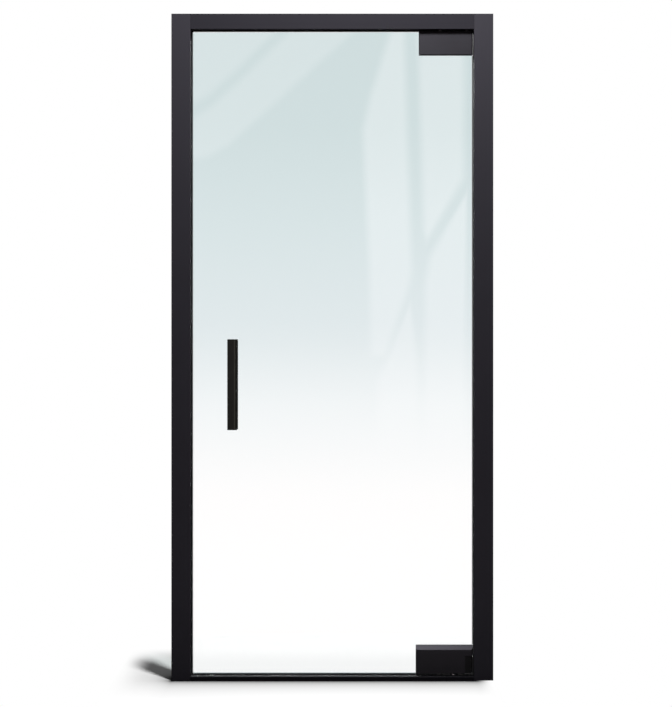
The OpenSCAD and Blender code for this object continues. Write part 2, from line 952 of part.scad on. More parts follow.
// closer body: bores for the spindle and its bushes, the rack chamber and the valves;
// in the cut-away corner of the covers it reaches as far as their end
module closer_body() {
    nose_y = patch_half - cover_bevel;
    color(dark_alu)
        at_bottom()
            difference() {
                union() {
                    patch_body(bottom_patch_l, bottom_patch_h, bottom_slope, core_l, core_h, bottom_screw_x);
                    span([plate_x1 - 1, -nose_y, 0], [heel - 0.2, nose_y, min(window_h - cover_lip, core_h) - 1]);
                }
                rod_z(spindle_r + run + bush_wall + seat, -1, bush_l);
                rod_z(spindle_r + loose, bush_l - 1, upper_z);
                rod_z(upper_r + run + bush_wall + seat, rack_z, upper_z + upper_bush_l);
                translate([0, 0, rack_z]) {
                    rod_x(piston_r + run, core_x0 - 1, chamber);
                    rod_x(plug_r + seat, core_x0 - 1, core_x0 + plug_l);
                }
                for (z = valve_z)
                    translate([valve_x, 0, z])
                        rod_y(valve_r + seat, -plate_out - 1, valve_l - plate_out);
            }
}

module bottom_clamp() {
    color(dark_alu)
        at_bottom()
            patch_clamp(bottom_patch_l, bottom_patch_h, bottom_slope, core_l, core_h, bottom_screw_x);
}

module bottom_front_gasket() {
    color(seal_black)
        at_bottom()
            patch_gasket(bottom_patch_l, bottom_patch_h, core_l, core_h);
}

module bottom_rear_gasket() {
    color(seal_black)
        at_bottom()
            mirror_y()
                patch_gasket(bottom_patch_l, bottom_patch_h, core_l, core_h);
}

module bottom_clamp_screws() {
    color(steel_grey)
        at_bottom()
            patch_screws(core_h, bottom_screw_x);
}

// bottom cover: its lower hinge-side corner is cut away to reach the speed valves
module bottom_cover() {
    difference() {
        patch_cover(bottom_patch_l, bottom_patch_h, bottom_slope);
        span([heel - window_w, -patch_half - 1, -cover_lip - 1], [heel + 1, 1, window_h - cover_lip]);
    }
}

module bottom_front_cover() {
    color(black_alu)
        at_bottom()
            bottom_cover();
}

module bottom_rear_cover() {
    color(black_alu)
        at_bottom()
            mirror_y()
                bottom_cover();
}

module lower_bush() {
    color(bronze)
        at_bottom()
            difference() {
                rod_z(spindle_r + run + bush_wall, 0, bush_l);
                rod_z(spindle_r + run, -1, bush_l + 1);
            }
}

module upper_bush() {
    color(bronze)
        at_bottom()
            difference() {
                rod_z(upper_r + run + bush_wall, upper_z, upper_z + upper_bush_l);
                rod_z(upper_r + run, upper_z - 1, upper_z + upper_bush_l + 1);
            }
}

// rack teeth along X, pointing towards -Y, meeting the pinion on its +Y side
module rack_teeth() {
    pitch = PI * gear_m;
    count = floor(rack_slot_l / pitch / 2);
    half = pitch / 4 - backlash / 4;
    tip_half = half - rack_tip * tan(press_deg);
    root_half = half + tooth_root * tan(press_deg);
    for (i = [-count : count - 1])
        translate([(i + 0.5) * pitch, 0])
            polygon([
                [-root_half, pitch_r + tooth_root + 0.5], [-root_half, pitch_r + tooth_root],
                [-tip_half, pitch_r - rack_tip], [tip_half, pitch_r - rack_tip],
                [root_half, pitch_r + tooth_root], [root_half, pitch_r + tooth_root + 0.5]]);
}

// piston with a slot around the pinion and a rack along one side of the slot
module rack_piston() {
    far = pitch_r + pinion_tip + 0.6;
    color(steel_grey)
        at_bottom()
            translate([0, 0, rack_z]) {
                difference() {
                    rod_x(piston_r, -piston_l / 2, piston_l / 2);
                    span([-rack_slot_l / 2, -far, -piston_r - 1],
                        [rack_slot_l / 2, pitch_r + tooth_root, piston_r + 1]);
                }
                intersection() {
                    rod_x(piston_r, -piston_l / 2, piston_l / 2);
                    translate([0, 0, -piston_r])
                        linear_extrude(2 * piston_r)
                            rack_teeth();
                }
            }
}

// compression spring along X from x = 0: a wire swept along a helix
module coil_spring(room) {
    sides = 8;
    per_turn = 20;
    steps = spring_turns * per_turn;
    rise = room - 2 * spring_wire - 0.1;
    ring = [for (i = [0 : steps], k = [0 : sides - 1])
        let (
            a = 360 * i / per_turn,
            b = 360 * k / sides,
            t = i / steps,
            ease = t - sin(360 * t) / (2 * PI) * 0.9,
            r = spring_r + spring_wire * cos(b))
        [spring_wire + 0.05 + rise * ease + spring_wire * sin(b), r * cos(a), r * sin(a)]];
    skin = [for (i = [0 : steps - 1], k = [0 : sides - 1])
        let (n = (k + 1) % sides)
        [i * sides + k, (i + 1) * sides + k, (i + 1) * sides + n, i * sides + n]];
    first_end = [[for (k = [0 : sides - 1]) k]];
    last_end = [[for (k = [sides - 1 : -1 : 0]) steps * sides + k]];
    polyhedron(points = ring, faces = concat(skin, first_end, last_end));
}

module hinge_side_spring() {
    color(steel_grey)
        at_bottom()
            translate([piston_l / 2, 0, rack_z])
                coil_spring(spring_room);
}

module strike_side_spring() {
    color(steel_grey)
        at_bottom()
            translate([-piston_l / 2 - spring_room, 0, rack_z])
                coil_spring(spring_room);
}

module end_plug() {
    color(steel_grey)
        at_bottom()
            translate([0, 0, rack_z])
                difference() {
                    rod_x(plug_r, core_x0, core_x0 + plug_l);
                    translate([core_x0 - 1, 0, 0])
                        rotate([0, 90, 0])
                            cylinder(r = 5, h = 6, $fn = 6);
                }
}

module speed_valves() {
    color(black_steel)
        at_bottom()
            for (z = valve_z)
                translate([valve_x, 0, z])
                    difference() {
                        rod_y(valve_r, 0.3 - plate_out, valve_l - plate_out);
                        span([-valve_r - 1, -plate_out - 1, -0.4], [valve_r + 1, 1.3 - plate_out, 0.4]);
                    }
}

// front pull: bevelled bar on two round posts
module pull_bar_section() {
    half = pull_w / 2;
    polygon([
        [-half, -pull_back], [-half, pull_edge - pull_front], [pull_edge - half, -pull_front],
        [half - pull_bevel, -pull_front], [half, bevel_deep - pull_front], [half, -pull_back]]);
}

module pull() {
    z0 = pull_z - pull_l / 2;
    face = glass_t / 2 + gasket_t;
    difference() {
        union() {
            difference() {
                translate([pull_x, 0, z0])
                    linear_extrude(pull_l)
                        pull_bar_section();
                for (s = [-1, 1])
                    translate([pull_x, -pull_front, pull_z + s * pull_l / 2])
                        pull_end_edge();
            }
            pull_post_places()
                rod_y(post_r, -pull_back - 1, -face);
        }
        pull_post_places() {
            rod_y(stud_r + seat, -face - stud_in, 0);
            translate([0, -face - stud_in / 2, 0])
                rod_z(grub_r + seat, -post_r - 1, 0);
        }
    }
}

// small chamfer across the front of the bar's end
module pull_end_edge() {
    rotate([0, 90, 0])
        translate([0, 0, -pull_w])
            linear_extrude(2 * pull_w)
                polygon([
                    [-pull_edge, 0], [0, pull_edge], [pull_edge, 0],
                    [pull_edge, -1], [-pull_edge, -1]]);
}

module front_pull() {
    color(black_alu)
        pull();
}

module rear_pull() {
    color(black_alu)
        mirror_y()
            pull();
}

// flanged sleeves that keep the posts and studs off the glass
module pull_ferrules() {
    face = glass_t / 2;
    color(seal_black)
        pull_post_places()
            for (s = [0, 1])
                mirror([0, s, 0])
                    difference() {
                        union() {
                            rod_y(ferrule_r, -face - gasket_t, -face);
                            rod_y(glass_hole_r - 0.2, -face - eps, -0.5);
                        }
                        rod_y(stud_r + 0.3, -face - gasket_t - 1, 1);
                    }
}

module pull_studs() {
    reach = glass_t / 2 + gasket_t + stud_in - 1;
    color(steel_grey)
        pull_post_places()
            rod_y(stud_r, -reach, reach);
}

module pull_grub_screws() {
    y = glass_t / 2 + gasket_t + stud_in / 2;
    color(steel_grey)
        pull_post_places()
            for (s = [-1, 1])
                translate([0, s * y, 0])
                    difference() {
                        rod_z(grub_r, 0.6 - post_r, -stud_r - 0.05);
                        translate([0, 0, 0.6 - post_r])
                            hex_socket(small_key_r, 2);
                    }
}

strike_jamb();
hinge_jamb();
header();
threshold();
corner_screws();
threshold_screws();
strike_seal();
hinge_seal();
header_seal();
threshold_seal();
fixing_caps();
pivot_base();
pinion_spindle();
thrust_ring();
pivot_housing();
pivot_pin();
pivot_screws();
pin_lock_screw();
glass_pane();
top_body();
top_clamp();
top_front_gasket();
top_rear_gasket();
top_bush();
top_clamp_screws();
top_front_cover();
top_rear_cover();
closer_body();
bottom_clamp();
bottom_front_gasket();
bottom_rear_gasket();
bottom_clamp_screws();
bottom_front_cover();
bottom_rear_cover();
lower_bush();
upper_bush();
rack_piston();
hinge_side_spring();
strike_side_spring();
end_plug();
speed_valves();
front_pull();
rear_pull();
pull_ferrules();
pull_studs();
pull_grub_screws();
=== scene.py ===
"""Finishes, studio and camera of the glass door.

Metres, +Z up, front towards -Y, hinge side towards +X, floor at Z = 0.
"""

import math

import bpy
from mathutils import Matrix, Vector


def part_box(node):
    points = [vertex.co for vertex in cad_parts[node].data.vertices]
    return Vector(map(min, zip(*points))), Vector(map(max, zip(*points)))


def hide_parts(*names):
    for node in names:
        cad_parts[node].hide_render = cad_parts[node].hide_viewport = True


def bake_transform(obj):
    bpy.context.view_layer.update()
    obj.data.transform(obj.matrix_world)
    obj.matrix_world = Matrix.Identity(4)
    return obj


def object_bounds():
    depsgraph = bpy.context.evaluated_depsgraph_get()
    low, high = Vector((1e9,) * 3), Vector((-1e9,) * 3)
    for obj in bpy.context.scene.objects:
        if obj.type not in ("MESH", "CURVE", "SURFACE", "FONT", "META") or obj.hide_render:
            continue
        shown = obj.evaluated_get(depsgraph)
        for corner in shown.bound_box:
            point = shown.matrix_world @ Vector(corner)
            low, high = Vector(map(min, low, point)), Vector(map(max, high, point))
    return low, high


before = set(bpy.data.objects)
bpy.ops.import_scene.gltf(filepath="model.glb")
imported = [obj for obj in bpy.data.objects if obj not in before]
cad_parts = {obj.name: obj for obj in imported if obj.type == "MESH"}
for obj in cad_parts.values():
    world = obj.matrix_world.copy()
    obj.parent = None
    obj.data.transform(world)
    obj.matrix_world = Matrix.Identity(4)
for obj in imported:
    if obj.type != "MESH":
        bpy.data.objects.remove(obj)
cad_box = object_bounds()

X_AXIS, Z_AXIS = 0, 2
WHITE = (1.0, 1.0, 1.0)
BLACK = (0.0, 0.0, 0.0)

# camera: level, straight in front, far enough away to keep the reveals thin;
# the scale is that at the front of the jambs, the sensor is in millimetres
IMAGE_HEIGHT = 707
CAMERA_DISTANCE = 10.0
CAMERA_X = 0.012
CAMERA_Z = 1.0666
METRES_PER_PIXEL = 0.0032616
SENSOR = 36.0

# lamps: one high in front, one behind that lights the door alone
LAMP_TARGET = Vector((0.0, 0.0, 1.2))
KEY_PLACE = Vector((0.15, -2.0, 3.1))
KEY_SIZE = (0.26, 0.5)
KEY_WATTS = 165.0
REAR_PLACE = Vector((-0.2, 2.4, 3.0))
REAR_SIZE = (0.8, 0.5)
REAR_WATTS = 150.0

# world: its light on matt surfaces and in gloss
AMBIENT = 0.12
ROOM = 0.03

# background seen through the glass, as stops of a ramp from below the horizon to above it;
# the ramp ends where a line of sight falls or rises by this share of its length
THROUGH_REACH = 0.105
THROUGH_GLASS = [
    (0.28, WHITE),
    (0.42, (0.940, 0.970, 0.980)),
    (0.55, (0.826, 0.888, 0.908)),
    (0.70, (0.762, 0.848, 0.862)),
    (0.85, (0.700, 0.798, 0.808)),
    (1.00, (0.690, 0.788, 0.798)),
]

# floor
FLOOR_RADIUS = 1.6
FLOOR_SIDES = 96
FLOOR_ALBEDO = 0.90

# the shadow fades to white between two distances, before the frame and at its sides;
# on the hinge side that starts at a share of the half width and goes faster
SHADOW_DEPTH = (0.42, 1.00)
SHADOW_WIDTH = (0.09, 0.20)
HINGE_SIDE_START = 0.80
HINGE_SIDE_RATE = 2.0

# painted shade in the floor's colour where the frame meets the floor, which ends sooner at its sides
PAINTED_SHADE_DEPTH = 0.06
PAINTED_SHADE_SIDE_RATE = 3.0

# in gloss the floor is dim, apart from a strip in front of the door with soft borders
GLOSS_LOSS = 0.9
STRIP_START = (0.4, 1.0)
STRIP_BORDER = (0.0, 0.3)

# bright cards whose reflection shows in the glass: place, glow, softness of the edges,
# and the heights between which they fade; heights under the floor mean no fade
CARD_Y = -5.0
SWEEP_Y = -4.8
FAINT_GLOW = 1.1
CARD_GLOW = 1.9
CARD_TINT = (1.25, 1.0, 1.0)
CARD_SOFT = 0.014
STREAK_FADE = (0.55, 1.75)
NO_FADE = (-2.0, -1.0)

# where the streaks show in the glass: glow, and outline as (x, z) on its front face
STREAK_CARDS = {
    "corner_card": (FAINT_GLOW, [
        (-0.47, 2.13), (-0.18, 2.13), (-0.31, 2.00), (-0.41, 1.91), (-0.47, 1.88)]),
    "band_card": (FAINT_GLOW, [
        (-0.47, 1.83), (-0.39, 1.88), (-0.29, 1.97), (-0.18, 2.08), (-0.13, 2.13), (0.08, 2.13),
        (-0.04, 2.02), (-0.24, 1.84), (-0.34, 1.75), (-0.41, 1.71), (-0.47, 1.70)]),
    "left_panel_card": (CARD_GLOW, [
        (0.195, 2.13), (0.235, 2.13), (0.245, 1.80), (0.260, 1.33), (0.245, 1.27),
        (0.172, 1.06), (0.128, 1.06), (0.120, 1.37), (0.100, 1.80), (0.125, 1.91)]),
    "low_panel_card": (CARD_GLOW, [
        (0.255, 1.23), (0.280, 0.98), (0.280, 0.60), (0.150, 0.60), (0.150, 0.98)]),
    "right_panel_card": (CARD_GLOW, [
        (0.280, 2.13), (0.430, 2.13), (0.430, 1.64), (0.310, 1.44), (0.300, 1.48)]),
    "right_low_card": (CARD_GLOW, [
        (0.440, 1.59), (0.320, 1.38), (0.305, 1.30), (0.305, 0.60), (0.430, 0.60)]),
}
# cosine of half the sharpest turn at which the edge of a card keeps its full width
SHARPEST_TURN = 0.5

# height on the glass and glow of the white sweep that shows in its lower half
LOW_SWEEP = [(-0.05, 2.0), (0.40, 2.0), (0.65, 1.7), (0.90, 0.8), (1.10, 0.0)]
SWEEP_HALF_WIDTH = 0.47

# finishes, as linear colours
FRAME_TONE = (0.0042, 0.0039, 0.0054)
# the threshold is darker than the frame, a painted shade: the key lamp falls straight on its front ramp
THRESHOLD_SHADED_TONE = (0.0024, 0.0023, 0.0030)
COVER_TONE = (0.0060, 0.0058, 0.0068)
PATCH_TONE = (0.0025, 0.0025, 0.0028)
PULL_TONE = (0.0052, 0.0049, 0.0040)
BLACK_STEEL_TONE = (0.0070, 0.0070, 0.0070)
SEAL_TONE = (0.0014, 0.0014, 0.0016)
PLASTIC_TONE = (0.0080, 0.0080, 0.0080)
STEEL_TONE = (0.520, 0.525, 0.535)
BRONZE_TONE = (0.560, 0.370, 0.160)
VIOLET_GLOSS = (0.90, 0.86, 1.0)

# paint of the pulls, with a painted highlight: paler along the ridge of the bevel
PULL_BEVEL = 0.007
RIDGE_HIGHLIGHT_WIDTH = 0.0025
RIDGE_HIGHLIGHT_SHARE = 4.5

# glass: what passes through it as plain light, its colour inside, and its waves to the metre
GLASS_SHADE = (0.95, 0.97, 0.965)
GLASS_GREEN = (0.30, 0.80, 0.70)
GLASS_DENSITY = 2.0
ROLLER_WAVES = (0.6, 1.0, 4.0)


class Socket:
    """An output of a shader tree. Arithmetic on it adds Math nodes."""

    def __init__(self, shader, output):
        self.shader = shader
        self.output = output

    def math(self, operation, *values):
        return self.shader.node("ShaderNodeMath", {"operation": operation}, dict(enumerate(values)))

    def __add__(self, other):
        return self.math("ADD", self, other)

    __radd__ = __add__

    def __sub__(self, other):
        return self.math("SUBTRACT", self, other)

    def __rsub__(self, other):
        return self.math("SUBTRACT", other, self)

    def __mul__(self, other):
        return self.math("MULTIPLY", self, other)

    __rmul__ = __mul__

    def __truediv__(self, other):
        return self.math("DIVIDE", self, other)

    def __abs__(self):
        return self.math("ABSOLUTE", self)

    def at_least(self, other):
        return self.math("MAXIMUM", self, other)

    def at_most(self, other):
        return self.math("MINIMUM", self, other)

    def share(self):
        """The value held between 0 and 1."""
        return self.at_least(0.0).at_most(1.0)

    def spread(self, width):
        """A noise from 0 to 1 as a change of up to half a width either way."""
        return width * (self - 0.5)

    def smooth_step(self, low, high):
        """0 below one value, 1 above the other, with a soft passage between them."""
        share = ((self - low) / (high - low)).share()
        return share * share * (3.0 - 2.0 * share)


class Shader:
    """The node tree of one finish, or of the world."""

    def __init__(self, owner):
        owner.use_nodes = True
        self.tree = owner.node_tree
        self.tree.nodes.clear()

    def node(self, kind, settings=None, sockets=None, output=0):
        """Adds a node: its settings first, then the values or links of its sockets."""
        made = self.tree.nodes.new(kind)
        for name, value in (settings or {}).items():
            if name == "stops":
                set_stops(made.color_ramp, value)
            else:
                setattr(made, name, value)
        for key, value in (sockets or {}).items():
            if isinstance(value, Socket):
                self.tree.links.new(value.output, made.inputs[key])
            else:
                made.inputs[key].default_value = value
        return Socket(self, made.outputs[output]) if made.outputs else None

    def place(self):
        """Where a point lies in the frame, in metres."""
        return self.node("ShaderNodeTexCoord", output="Object")

    def stretched(self, vector, scale):
        return self.node("ShaderNodeVectorMath", {"operation": "MULTIPLY"}, {0: vector, 1: scale})

    def parts(self, vector):
        return [self.node("ShaderNodeSeparateXYZ", sockets={0: vector}, output=i) for i in range(3)]

    def noise(self, vector, scale, detail=2.0):
        sockets = {"Vector": vector, "Scale": scale, "Detail": detail}
        return self.node("ShaderNodeTexNoise", sockets=sockets)

    def lines(self, vector, axis, across, along):
        """Fine lines along an axis, with the scale of the noise across them and along them."""
        scale = [across] * 3
        scale[axis] = along
        return self.noise(self.stretched(vector, scale), scale=1.0)

    def mix(self, share, first, second):
        """A colour between two colours, through the colour sockets of a Mix node."""
        sockets = {0: share, 6: first, 7: second}
        return self.node("ShaderNodeMix", {"data_type": "RGBA"}, sockets, output=2)

    def shades(self, share, tone, darkest, palest):
        """A colour between a darker and a paler shade of a tone."""
        return self.mix(share, opaque(tone, darkest), opaque(tone, palest))

    def bump(self, height, strength, distance):
        sockets = {"Height": height, "Strength": strength, "Distance": distance}
        return self.node("ShaderNodeBump", sockets=sockets)

    def light_path(self, output):
        return self.node("ShaderNodeLightPath", output=output)

    def unbounced(self, *kinds):
        """1 for a ray that has not bounced yet in the given ways, such as off a matt surface."""
        return 1.0 - sum(self.light_path(kind + " Depth") for kind in kinds).share()

    def through_glass(self):
        """1 for a ray that comes from the camera straight through the glass."""
        return self.light_path("Is Transmission Ray") * self.unbounced("Diffuse", "Glossy")

    def principled(self, sockets):
        return self.node("ShaderNodeBsdfPrincipled", sockets=sockets)

    def mix_shader(self, share, first, second):
        return self.node("ShaderNodeMixShader", sockets={0: share, 1: first, 2: second})

    def surface(self, shader, kind="ShaderNodeOutputMaterial", volume=None):
        sockets = {"Surface": shader}
        if volume is not None:
            sockets["Volume"] = volume
        self.node(kind, sockets=sockets)


def set_stops(ramp, stops):
    """Gives a colour ramp its stops, a list of (position, colour)."""
    while len(ramp.elements) < len(stops):
        ramp.elements.new(0.5)
    for element, (position, colour) in zip(ramp.elements, stops):
        element.position = position
        element.color = opaque(colour)


def opaque(colour, share=1.0):
    """A colour times a share, with the fourth value that a socket wants."""
    return (*[channel * share for channel in colour], 1.0)


def new_finish(name):
    material = bpy.data.materials.new(name)
    return material, Shader(material)


def drawn_black(name, tone, axis, roughness, gloss):
    """Satin black aluminium: draw lines along the profile, soft clouding and a fine grain."""
    material, shader = new_finish(name)
    place = shader.place()
    lines = shader.lines(place, axis, across=900.0, along=6.0)
    clouds = shader.noise(place, scale=7.0)
    grain = shader.noise(place, scale=2200.0, detail=1.0)
    shader.surface(shader.principled({
        "Base Color": shader.shades(clouds, tone, darkest=0.86, palest=1.14),
        "Roughness": roughness + lines.spread(0.10) + clouds.spread(0.06),
        "Specular IOR Level": gloss,
        "Specular Tint": opaque(VIOLET_GLOSS),
        "Normal": shader.bump(0.4 * lines + 0.6 * grain, strength=0.12, distance=0.00015),
    }))
    return material


def cast_dark(name, tone):
    """Dark body of a patch: blasted aluminium, matt and slightly mottled."""
    material, shader = new_finish(name)
    place = shader.place()
    mottle = shader.noise(place, scale=60.0, detail=3.0)
    grain = shader.noise(place, scale=1600.0)
    shader.surface(shader.principled({
        "Base Color": shader.shades(mottle, tone, darkest=0.8, palest=1.25),
        "Roughness": 0.55 + mottle.spread(0.16),
        "Specular IOR Level": 0.08,
        "Normal": shader.bump(grain, strength=0.2, distance=0.0002),
    }))
    return material


def painted_pull(name, tone):
    """Black paint on the pulls: close orange peel, and a painted highlight along the ridge of the
    bevel.
    """
    material, shader = new_finish(name)
    place = shader.place()
    peel = shader.noise(place, scale=700.0, detail=1.5)
    clouds = shader.noise(place, scale=18.0)
    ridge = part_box("front_pull")[1].x - PULL_BEVEL
    off_ridge = abs(shader.parts(place)[X_AXIS] - ridge)
    # painted highlight: paler, glossier paint in a narrow band along the ridge of the bevel
    painted_ridge_highlight = (1.0 - off_ridge / RIDGE_HIGHLIGHT_WIDTH).share() * (1.0 + clouds.spread(0.8))
    paint = shader.shades(clouds, tone, darkest=0.88, palest=1.12)
    shader.surface(shader.principled({
        "Base Color": shader.mix(painted_ridge_highlight, paint, opaque(tone, RIDGE_HIGHLIGHT_SHARE)),
        "Roughness": 0.50 + peel.spread(0.08) + clouds.spread(0.06) - 0.10 * painted_ridge_highlight,
        "Specular IOR Level": 0.08,
        "Normal": shader.bump(peel, strength=0.15, distance=0.0002),
    }))
    return material


def soft_black(name, tone, scale, roughness):
    """Rubber, pile or dull plastic: near black, with a fine uneven skin."""
    material, shader = new_finish(name)
    skin = shader.noise(shader.place(), scale, detail=3.0)
    shader.surface(shader.principled({
        "Base Color": shader.shades(skin, tone, darkest=0.7, palest=1.3),
        "Roughness": roughness + skin.spread(0.15),
        "Specular IOR Level": 0.05,
        "Normal": shader.bump(skin, strength=0.35, distance=0.0003),
    }))
    return material


def bare_metal(name, tone, axis, roughness):
    """Turned or milled metal with tool lines along one axis."""
    material, shader = new_finish(name)
    place = shader.place()
    lines = shader.lines(place, axis, across=1400.0, along=40.0)
    stain = shader.noise(place, scale=35.0)
    shader.surface(shader.principled({
        "Base Color": shader.shades(stain, tone, darkest=0.88, palest=1.08),
        "Metallic": 1.0,
        "Roughness": roughness + lines.spread(0.14) + stain.spread(0.08),
        "Normal": shader.bump(lines, strength=0.12, distance=0.0001),
    }))
    return material


def clear_glass():
    """Toughened glass: faintly green, with the long shallow waves that its rollers leave.

    Light on its way to a matt surface passes straight through, so the glass throws no dark shadow.
    """
    material, shader = new_finish("clear_glass")
    waves = shader.noise(shader.stretched(shader.place(), ROLLER_WAVES), scale=1.0, detail=0.0)
    glass = shader.principled({
        "Base Color": opaque(WHITE),
        "Roughness": 0.0,
        "IOR": 1.5,
        "Transmission Weight": 1.0,
        "Normal": shader.bump(waves, strength=0.3, distance=0.0004),
    })
    passed = shader.node("ShaderNodeBsdfTransparent", sockets={"Color": opaque(GLASS_SHADE)})
    inside = shader.node("ShaderNodeVolumeAbsorption", sockets={
        "Color": opaque(GLASS_GREEN), "Density": GLASS_DENSITY})
    seen = shader.mix_shader(shader.light_path("Is Diffuse Ray"), glass, passed)
    shader.surface(shader.mix_shader(shader.light_path("Is Shadow Ray"), seen, passed), volume=inside)
    return material


def dress(finish, *nodes):
    """Gives a finish to the material slots of CAD nodes."""
    for name in nodes:
        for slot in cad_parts[name].material_slots:
            slot.material = finish


def dress_frame():
    """The profiles of the frame; the draw lines follow their length."""
    dress(drawn_black("frame_upright", FRAME_TONE, Z_AXIS, roughness=0.55, gloss=0.16),
          "strike_jamb", "hinge_jamb")
    dress(drawn_black("frame_crosswise", FRAME_TONE, X_AXIS, roughness=0.55, gloss=0.09),
          "header")
    # a darker copy of the frame's finish, a painted shade on the threshold
    dress(drawn_black("threshold_shaded_black", THRESHOLD_SHADED_TONE, X_AXIS, roughness=0.50, gloss=0.04),
          "threshold")


def dress_soft_pieces():
    """Seal strips, plastic caps and rings, and the gaskets between glass and patches."""
    dress(soft_black("seal_pile", SEAL_TONE, scale=1800.0, roughness=0.85),
          "strike_seal", "hinge_seal", "header_seal", "threshold_seal")
    dress(soft_black("cap_plastic", PLASTIC_TONE, scale=900.0, roughness=0.55),
          "fixing_caps", "pull_ferrules", "thrust_ring")
    dress(soft_black("patch_gasket", SEAL_TONE, scale=500.0, roughness=0.7),
          "top_front_gasket", "top_rear_gasket", "bottom_front_gasket", "bottom_rear_gasket")


def dress_patches():
    """Covers and bodies of the two patches, and the housing of the top pivot."""
    dress(drawn_black("cover_black", COVER_TONE, X_AXIS, roughness=0.34, gloss=0.12),
          "top_front_cover", "top_rear_cover", "bottom_front_cover", "bottom_rear_cover")
    dress(cast_dark("patch_dark", PATCH_TONE),
          "top_body", "top_clamp", "closer_body", "bottom_clamp", "pivot_housing")


def dress_metal():
    """Screws, pins, bushes and the works of the closer."""
    dress(bare_metal("turned_steel", STEEL_TONE, X_AXIS, roughness=0.32),
          "corner_screws", "threshold_screws", "pivot_screws", "pin_lock_screw",
          "top_clamp_screws", "bottom_clamp_screws", "end_plug", "pull_studs",
          "pull_grub_screws", "rack_piston")
    dress(bare_metal("ground_steel", STEEL_TONE, Z_AXIS, roughness=0.24),
          "pinion_spindle", "pivot_pin")
    dress(cast_dark("blackened_steel", BLACK_STEEL_TONE),
          "pivot_base", "speed_valves")
    dress(bare_metal("bush_bronze", BRONZE_TONE, Z_AXIS, roughness=0.34),
          "top_bush", "lower_bush", "upper_bush")


def add_object(name, data):
    """Puts a mesh, a lamp or a camera into the scene."""
    made = bpy.data.objects.new(name, data)
    bpy.context.scene.collection.objects.link(made)
    return made


def coil_spring(name, node, finish):
    """A return spring: a copy of its CAD node with a finish of its own, shown in place of the node."""
    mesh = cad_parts[node].data.copy()
    mesh.materials.clear()
    mesh.materials.append(finish)
    spring = add_object(name, mesh)
    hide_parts(node)
    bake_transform(spring)


def fit_springs():
    """The coils keep the shape of their CAD nodes and take the finish of spring wire."""
    wire = bare_metal("spring_wire", STEEL_TONE, X_AXIS, roughness=0.32)
    coil_spring("hinge_side_coil", "hinge_side_spring", wire)
    coil_spring("strike_side_coil", "strike_side_spring", wire)


def place_camera():
    """A level camera whose picture plane is parallel to the door."""
    data = bpy.data.cameras.new("door_camera")
    data.sensor_width = SENSOR
    data.lens = SENSOR * CAMERA_DISTANCE / (METRES_PER_PIXEL * IMAGE_HEIGHT)
    camera = add_object("door_camera", data)
    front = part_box("hinge_jamb")[0].y
    camera.location = (CAMERA_X, front - CAMERA_DISTANCE, CAMERA_Z)
    camera.rotation_euler = (math.pi / 2, 0.0, 0.0)
    bpy.context.scene.camera = camera
    return camera


def stage_piece(name, points, faces, finish):
    """A flat mesh of the studio, which is no part of the door."""
    mesh = bpy.data.meshes.new(name)
    mesh.from_pydata(points, [], faces)
    mesh.materials.append(finish)
    piece = add_object(name, mesh)
    return piece


def floor_white(shader, x, y):
    """Share of plain white: for the camera away from the shadow, through the glass everywhere."""
    low, high = cad_box
    before = abs(y) - high.y
    beside = (low.x - x).at_least(HINGE_SIDE_RATE * (x - HINGE_SIDE_START * high.x))
    shadow = (1.0 - before.smooth_step(*SHADOW_DEPTH)) * (1.0 - beside.smooth_step(*SHADOW_WIDTH))
    camera_white = shader.light_path("Is Camera Ray") * (1.0 - shadow)
    return (camera_white + shader.through_glass()).share()


def floor_tone(shader, x, y):
    """Tone of the floor: darker close to the frame, a painted contact shade, and much less in gloss."""
    low, high = cad_box
    before = (abs(y) - high.y).at_least(0.0)
    beside = (low.x - x).at_least(x - high.x).at_least(0.0)
    # painted shade: the floor's colour darkens towards the frame's edges, faster at its sides
    gap = before + PAINTED_SHADE_SIDE_RATE * beside
    painted_contact_shade = gap / (gap + PAINTED_SHADE_DEPTH)
    strip = (low.y - y).smooth_step(*STRIP_START) * (1.0 - beside.smooth_step(*STRIP_BORDER))
    dimmed = GLOSS_LOSS * (1.0 - strip) * shader.light_path("Is Glossy Ray")
    return FLOOR_ALBEDO * painted_contact_shade * (1.0 - dimmed)


def floor_finish():
    """Pale floor: it keeps the shadow near the frame, has a painted contact shade along the frame's
    edges, and fades to white away from it.
    """
    material, shader = new_finish("studio_floor")
    x, y, _ = shader.parts(shader.place())
    tone = floor_tone(shader, x, y)
    grey = shader.node("ShaderNodeCombineColor", sockets={0: tone, 1: tone, 2: tone})
    lit = shader.node("ShaderNodeBsdfDiffuse", sockets={"Color": grey})
    white = shader.node("ShaderNodeEmission", sockets={"Strength": 1.0})
    shader.surface(shader.mix_shader(floor_white(shader, x, y), lit, white))
    return material


def lay_floor():
    """A round floor under the door."""
    turns = [2 * math.pi * i / FLOOR_SIDES for i in range(FLOOR_SIDES)]
    rim = [(FLOOR_RADIUS * math.cos(turn), FLOOR_RADIUS * math.sin(turn), 0.0) for turn in turns]
    stage_piece("studio_floor", rim, [range(FLOOR_SIDES)], floor_finish())


